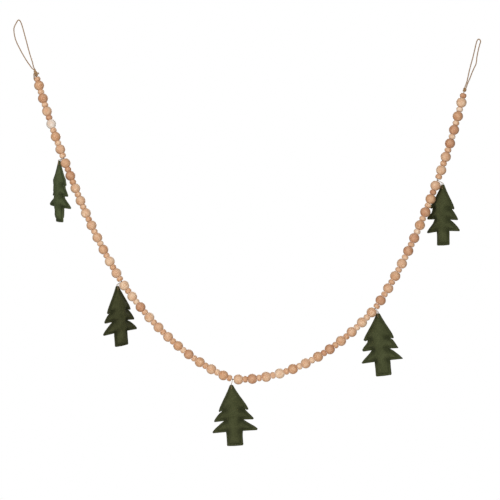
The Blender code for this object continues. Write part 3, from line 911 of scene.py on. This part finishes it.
def half_thickness(flat, line, size, lumps):
    """Height of the felt over the middle of a tree at each flat point.

    It is the rim, plus the crown times 1 - (1 - x)^2, where x is the share of the crown's
    reach beyond the seam. The crown rises from the tip, is drawn in beside the notches
    with small puckers round them, and carries the lumps of the filling. A groove runs
    along the seam, and the thread's hole is in a dimple.
    """
    distance = soft_distance(flat, line)
    x = np.clip((distance - SEAM_INSET) / CROWN_REACH, 0.0, 1.0)
    rise = np.clip(flat[:, 1] / CROWN_RISE, 0.0, 1.0) ** CROWN_RISE_POWER
    apart = from_notches(flat, size)
    reach = np.linalg.norm(apart, axis=2)
    near = bell(reach, PINCH_REACH)
    swell = (1.0 - (1.0 - x) ** 2) * rise * np.prod(1.0 - PINCH * near, axis=1)
    turn = np.arctan2(apart[..., 1], apart[..., 0])
    fan = np.cos(PUCKER_FOLDS * turn + flat[:, :1] / PUCKER_WAVE)
    pucker = (PUCKER * fan * reach / PINCH_REACH * near).sum(axis=1)
    rough = sum(lump_height(flat, one) for one in lumps)
    groove = SEAM_GROOVE * bell(distance - SEAM_INSET, SEAM_GROOVE_WIDTH)
    hole = np.linalg.norm(flat - (0.0, THREAD_HOLE_BELOW_TIP), axis=1)
    dimple = DIMPLE * bell(hole, DIMPLE_REACH)
    return (TREE_RIM_HALF + (TREE_CROWN_HALF - TREE_RIM_HALF) * swell
            + (rough + pucker) * np.sqrt(x) - groove - dimple)


def tree_bend(flat, hung):
    """How far the felt curls back, growing with the square of the way across."""
    return hung.curl * (flat[:, 0] / (TREE_HALF_WIDTH * hung.size)) ** 2


def kept_grid(line):
    """Grid points and cells inside a closed line, with the border points moved onto it.

    Also gives the border's points, its edges, and the way out of the line at each point.
    """
    low = line.min(axis=0) - 2 * FELT_GRID
    high = line.max(axis=0) + 2 * FELT_GRID
    across = np.arange(low[0], high[0], FELT_GRID)
    down = np.arange(low[1], high[1], FELT_GRID)
    grid = np.stack(np.meshgrid(across, down, indexing="ij"), axis=-1)
    rows, columns = grid.shape[:2]
    centres = (grid[:-1, :-1] + grid[1:, 1:]) / 2
    kept = inside_line(centres.reshape(-1, 2), line)
    corner = (np.arange(rows - 1)[:, None] * columns + np.arange(columns - 1)).ravel()[kept]
    cells = np.column_stack([corner, corner + columns, corner + columns + 1, corner + 1])
    used, cells = np.unique(cells, return_inverse=True)
    cells = cells.reshape(-1, 4)
    flat = grid.reshape(-1, 2)[used]
    edges = np.stack([cells, np.roll(cells, -1, axis=1)], axis=-1).reshape(-1, 2)
    _, first, times = np.unique(np.sort(edges, axis=1), axis=0, return_index=True,
                                return_counts=True)
    border_edges = edges[first[times == 1]]
    border = np.unique(border_edges)
    nearest = ((flat[border][:, None, :] - line[None, :, :]) ** 2).sum(axis=2).argmin(axis=1)
    flat[border] = line[nearest]
    outwards = np.zeros_like(flat)
    outwards[border] = outline_normals(line)[nearest]
    return flat, cells, border, border_edges, outwards


def tree_shell(hung, line, lumps):
    """A stuffed tree in its own axes: a front and a back of felt, and the cut edges.

    Both faces are the same grid of (across, down), standing its half thickness off the
    middle. Rings of points at levels across the rim join them: each layer's edge is
    rounded, with a crease between the two layers.
    """
    flat, cells, border, border_edges, outwards = kept_grid(line)
    bend = tree_bend(flat, hung)
    count = len(flat)
    sheets = []
    for facing, lump in zip((-1.0, 1.0), lumps):
        half = half_thickness(flat, line, hung.size, lump)
        half[border] = TREE_RIM_HALF
        sheets.append(np.column_stack([flat[:, 0], bend + facing * half, -flat[:, 1]]))
    place = np.zeros(count, int)
    place[border] = np.arange(len(border))
    rings = []
    joints = [border_edges]
    for number, (level, proud) in enumerate(EDGE_LEVELS):
        edge = flat[border] + proud * outwards[border]
        deep = bend[border] + level * TREE_RIM_HALF
        rings.append(np.column_stack([edge[:, 0], deep, -edge[:, 1]]))
        joints.append(2 * count + number * len(border) + place[border_edges])
    joints.append(border_edges + count)
    walls = [np.column_stack([this, that[:, ::-1]]) for this, that in zip(joints, joints[1:])]
    # Painted shade along the cut edge, the seam and beside the notches; none on the rim's walls.
    painted_shade = felt_painted_shade(flat, line, hung.size)
    painted_shade = np.concatenate([painted_shade, painted_shade, np.zeros(len(EDGE_LEVELS) * len(border))])
    # The felt's tint for the whole tree, partly painted light.
    attributes = {"painted_shade": painted_shade, "dye": np.full(len(painted_shade), hung.dye)}
    return np.vstack(sheets + rings), np.vstack([cells, cells + count, *walls]), attributes


def seam_line(line):
    """The line a seam's inset inside a cut line, without the loops that offsetting makes."""
    inner = line - SEAM_INSET * outline_normals(line)
    nearest = np.sqrt(((inner[:, None, :] - line[None, :, :]) ** 2).sum(axis=2).min(axis=1))
    inner = inner[nearest > SEAM_KEPT * SEAM_INSET]
    return np.vstack([inner, inner[:1]])


def stitch_shell(hung, line, lumps):
    """Running stitches on both faces, each a thread that rises from the felt and dips in.

    A stitch follows the seam over its length. At a share t of it, its thread's middle
    rises over the felt as sin(pi t), and it is as thick as sqrt(sin(pi t)) says.
    """
    seam = seam_line(line)
    along = path_lengths(seam)
    count = int(along[-1] / (STITCH_LENGTH + STITCH_GAP))
    share = np.linspace(0.0, 1.0, STITCH_POINTS)
    wave = np.sin(math.pi * share)
    start = np.arange(count)[:, None] * along[-1] / count
    at = start + share * (along[-1] / count - STITCH_GAP)
    flat = np.stack([np.interp(at, along, axis) for axis in seam.T], axis=-1)
    flat_list = flat.reshape(-1, 2)
    forward = unit(np.gradient(flat, axis=1))
    sideways = np.stack([forward[..., 1], 0.0 * at, forward[..., 0]], axis=-1)
    around = 2 * math.pi * np.arange(STITCH_SIDES) / STITCH_SIDES
    thick = STITCH_RADIUS * np.sqrt(wave)[:, None, None]
    rise = STITCH_RADIUS * ((STITCH_RISE + STITCH_SINK) * wave - STITCH_SINK)
    bend = tree_bend(flat_list, hung).reshape(at.shape)
    faces = tube_faces(count, STITCH_POINTS, STITCH_SIDES)
    shells = []
    for facing, lump in zip((-1.0, 1.0), lumps):
        half = half_thickness(flat_list, line, hung.size, lump).reshape(at.shape)
        deep = bend + facing * (half + rise)
        centre = np.stack([flat[..., 0], deep, -flat[..., 1]], axis=-1)
        off = np.array([0.0, facing, 0.0])
        rings = centre[:, :, None, :] + thick * spokes(around, sideways[:, :, None, :], off)
        shells.append((rings.reshape(-1, 3), faces, {}))
    return joined(shells)


def turn_matrix(hung):
    """A tree's turn: by -pitch about X, then -roll about Y, then -yaw about Z."""
    turns = -np.radians([hung.pitch, hung.roll, hung.yaw])
    ca, cb, cc = np.cos(turns)
    sa, sb, sc = np.sin(turns)
    about_x = np.array([(1, 0, 0), (0, ca, -sa), (0, sa, ca)])
    about_y = np.array([(cb, 0, sb), (0, 1, 0), (-sb, 0, cb)])
    about_z = np.array([(cc, -sc, 0), (sc, cc, 0), (0, 0, 1)])
    return about_z @ about_y @ about_x


def set_in_place(shell, hung, bends, gap):
    """A tree's shell turned as it hangs, its flaps bent, and moved to its tip.

    A flap's share of its bend grows evenly from the tree's middle to the flap's tip. It
    fades as exp(-(d / reach)^2) at the distance d above or below the level of the tip.
    """
    points, faces, attributes = shell
    tips = np.array(FLAP_TIPS)
    share = np.clip(points[:, :1] / tips[:, 0], 0.0, 1.0)
    below = -points[:, 2:] - tips[:, 1]
    reach = np.where(below > 0.0, FLAP_BELOW, np.array(FLAP_ABOVE))
    across, up = ((share * bell(below, reach)) @ np.array(bends)).T
    bent = points @ turn_matrix(hung).T + np.column_stack([across, 0.0 * across, up])
    return bent + gap["centre"] + np.array(hung.tip), faces, attributes


def add_fibres(name, source, hairs, material, rng):
    """Stray fibres that stand off a piece, each leaning from a point's own normal."""
    count, length, radius = hairs
    mesh = source.data
    points = np.empty(3 * len(mesh.vertices), np.float32)
    normals = np.empty_like(points)
    mesh.vertices.foreach_get("co", points)
    mesh.vertices.foreach_get("normal", normals)
    chosen = rng.integers(0, len(mesh.vertices), count)
    roots = points.reshape(-1, 3)[chosen].astype(float)
    way = unit(normals.reshape(-1, 3)[chosen] + rng.normal(0.0, HAIR_LEAN, (count, 3)))
    sideways = rng.normal(0.0, 1.0, (count, 3))
    lengths = length * rng.uniform(*HAIR_LENGTHS, count)
    shell = stray_fibres(roots - HAIR_ROOT * way, way, sideways, lengths, radius)
    add_piece(name, shell, material)


# --- building ---
STRING_SEED = 11
TREE_SEED = 100


def add_cord(name, path, node, sides=PLY_SIDES):
    """A length of twine that hangs between two knots, or goes back into its own."""
    cord = add_piece(name, twine(path, sides), jute, [node])
    return cord


def add_tree(number, hung, bends, gap):
    """A stuffed tree, its seam's stitches, the fibres that stand off it, and its thread."""
    rng = np.random.default_rng(TREE_SEED + number)
    line = cut_outline(hung.size)
    lumps = [[draw_lumps(rng, *kind) for kind in FILLING_LUMPS] for _ in range(2)]
    body = set_in_place(tree_shell(hung, line, lumps), hung, bends, gap)
    tree = add_piece(f"stuffed_felt_tree_{number}", body, felt, [f"felt_tree_{number}"])
    stitches = set_in_place(stitch_shell(hung, line, lumps), hung, bends, gap)
    add_piece(f"seam_stitches_{number}", stitches, seam_thread)
    add_fibres(f"felt_fibres_{number}", tree, FELT_HAIRS, felt, rng)
    thread = twisted_cord(hanger_path(gap, hung), THREAD_RADIUS, THREAD_PLIES, THREAD_TWIST,
                          THIN_PLY_SIDES)
    add_piece(f"hanger_thread_{number}", thread, cotton, [f"hanger_{number}"])


add_camera()

# Coarse straw-brown jute, finer and paler cotton, and cotton dyed to the felt's green.
jute = spun_fibre("jute_twine", ("#6f543b", "#a38059", "#cfb08a"), 6 * MM, 0.22 * MM, 0.9)
cotton = spun_fibre("cotton_thread", ("#77604a", "#a1855f", "#c8ac84"), 3 * MM, 0.12 * MM, 0.85)
felt = wool_felt()
seam_thread = spun_fibre("seam_thread", ("#2b331b", "#3a4325", "#4c5632"), 2 * MM, 0.1 * MM, 0.8)
wood = turned_wood()

rng = np.random.default_rng(STRING_SEED)
runs, gaps = lay_out_beads()
left_along = -runs[0]["along"][0]
left_centre = runs[0]["centre"][0] + LEFT_KNOT["from_bead"] * left_along
right_along = runs[-1]["along"][-1]
right_centre = runs[-1]["centre"][-1] + RIGHT_KNOT["from_bead"] * right_along

left_ends = left_centre + LEFT_LOOP_ENDS
left_route = smooth_path([left_ends[0], *LEFT_LOOP, left_ends[1]], TWINE_STEP)
right_route = right_centre + smooth_path(
    [RIGHT_LOOP_ENDS[0], *RIGHT_LOOP, RIGHT_LOOP_ENDS[1]], TWINE_STEP)
for name, route in (("left_loop", left_route), ("right_loop", right_route)):
    loop = add_cord(f"{name}_twine", route, name)
    add_fibres(f"{name}_fibres", loop, LOOP_HAIRS, jute, rng)
add_cord("bead_string_twine", string_path(runs, gaps, left_centre, right_centre),
         "bead_string", THIN_PLY_SIDES)

for name, centre, along, size in (("left_knot", left_centre, left_along, LEFT_KNOT),
                                  ("right_knot", right_centre, right_along, RIGHT_KNOT)):
    knot = add_piece(f"{name}_wraps", knot_shell(centre, along, size), jute, [name])
    add_fibres(f"{name}_fibres", knot, KNOT_HAIRS, jute, rng)
for name, root, tail in (("left_tail_1", LEFT_TAIL_1_ROOT, LEFT_TAIL_1),
                         ("left_tail_2", LEFT_TAIL_2_ROOT, LEFT_TAIL_2)):
    route = left_centre + smooth_path([root, *tail], TWINE_STEP)
    cut_end = add_piece(f"{name}_twine", twine(route), jute, [name])
    add_fibres(f"{name}_fibres", cut_end, TAIL_HAIRS, jute, rng)

for number, (run, tones) in enumerate(zip(runs, BEAD_TONES), start=1):
    shell = joined([bead_shell(run, tones, small, rng) for small in (True, False)])
    add_piece(f"turned_beads_{number}", shell, wood, [f"beads_{number}"])
for number, (hung, bends, gap) in enumerate(zip(TREES, FLAP_BENDS, gaps), start=1):
    add_tree(number, hung, bends, gap)

# --- floor, light and world ---
AMBIENT = 0.16
SOFTBOXES = (
    # name, place from the garland's middle, side, watts
    ("key", (-1.0, -2.45, 1.15), 2.2, 61.0),
    ("fill", (0.9, -2.6, 0.0), 1.6, 23.0),
    ("back", (0.5, 2.6, 0.9), 2.0, 60.0),
)
FLOOR_LEVEL = -1.05
FLOOR_CORNERS = ((-1.0, -1.2), (2.0, -1.2), (2.0, 0.3), (-1.0, 0.3))


def set_world():
    """White where the camera looks past the garland, and a dim even light on it."""
    world = bpy.data.worlds.new("studio")
    world.use_nodes = True
    tree = world.node_tree
    tree.nodes.clear()
    white = add_node(tree, "Background", inputs={
        "Color": srgb("#ffffff"), "Strength": 1.0})
    ambient = add_node(tree, "Background", inputs={
        "Color": srgb("#ffffff"), "Strength": AMBIENT})
    seen = add_node(tree, "LightPath")
    mixed = add_node(tree, "MixShader", inputs={
        0: seen.outputs["Is Camera Ray"], 1: ambient.outputs[0], 2: white.outputs[0]})
    add_node(tree, "OutputWorld", inputs={"Surface": mixed.outputs[0]})
    bpy.context.scene.world = world


def add_softbox(name, place, size, power):
    """A square area light that faces the middle of the garland."""
    data = bpy.data.lights.new(name, "AREA")
    data.size = size
    data.energy = power
    light = bpy.data.objects.new(name, data)
    light.location = np.array([VIEW_CENTRE[0], 0.0, VIEW_CENTRE[1]]) + place
    light.rotation_euler = (-Vector(place)).to_track_quat("-Z", "Y").to_euler()
    light.visible_camera = False
    bpy.context.scene.collection.objects.link(light)


def add_floor():
    """A plain pale floor under the garland."""
    mesh = bpy.data.meshes.new("floor")
    mesh.from_pydata([(x, y, FLOOR_LEVEL) for x, y in FLOOR_CORNERS], [], [(0, 1, 2, 3)])
    floor = bpy.data.objects.new("floor", mesh)
    material, _, shader = new_material("pale_floor")
    set_inputs(shader, {"Base Color": srgb("#efece6"), "Roughness": 0.8})
    mesh.materials.append(material)
    bpy.context.scene.collection.objects.link(floor)


bpy.context.scene.view_settings.view_transform = "Standard"
set_world()
for softbox in SOFTBOXES:
    add_softbox(*softbox)
add_floor()
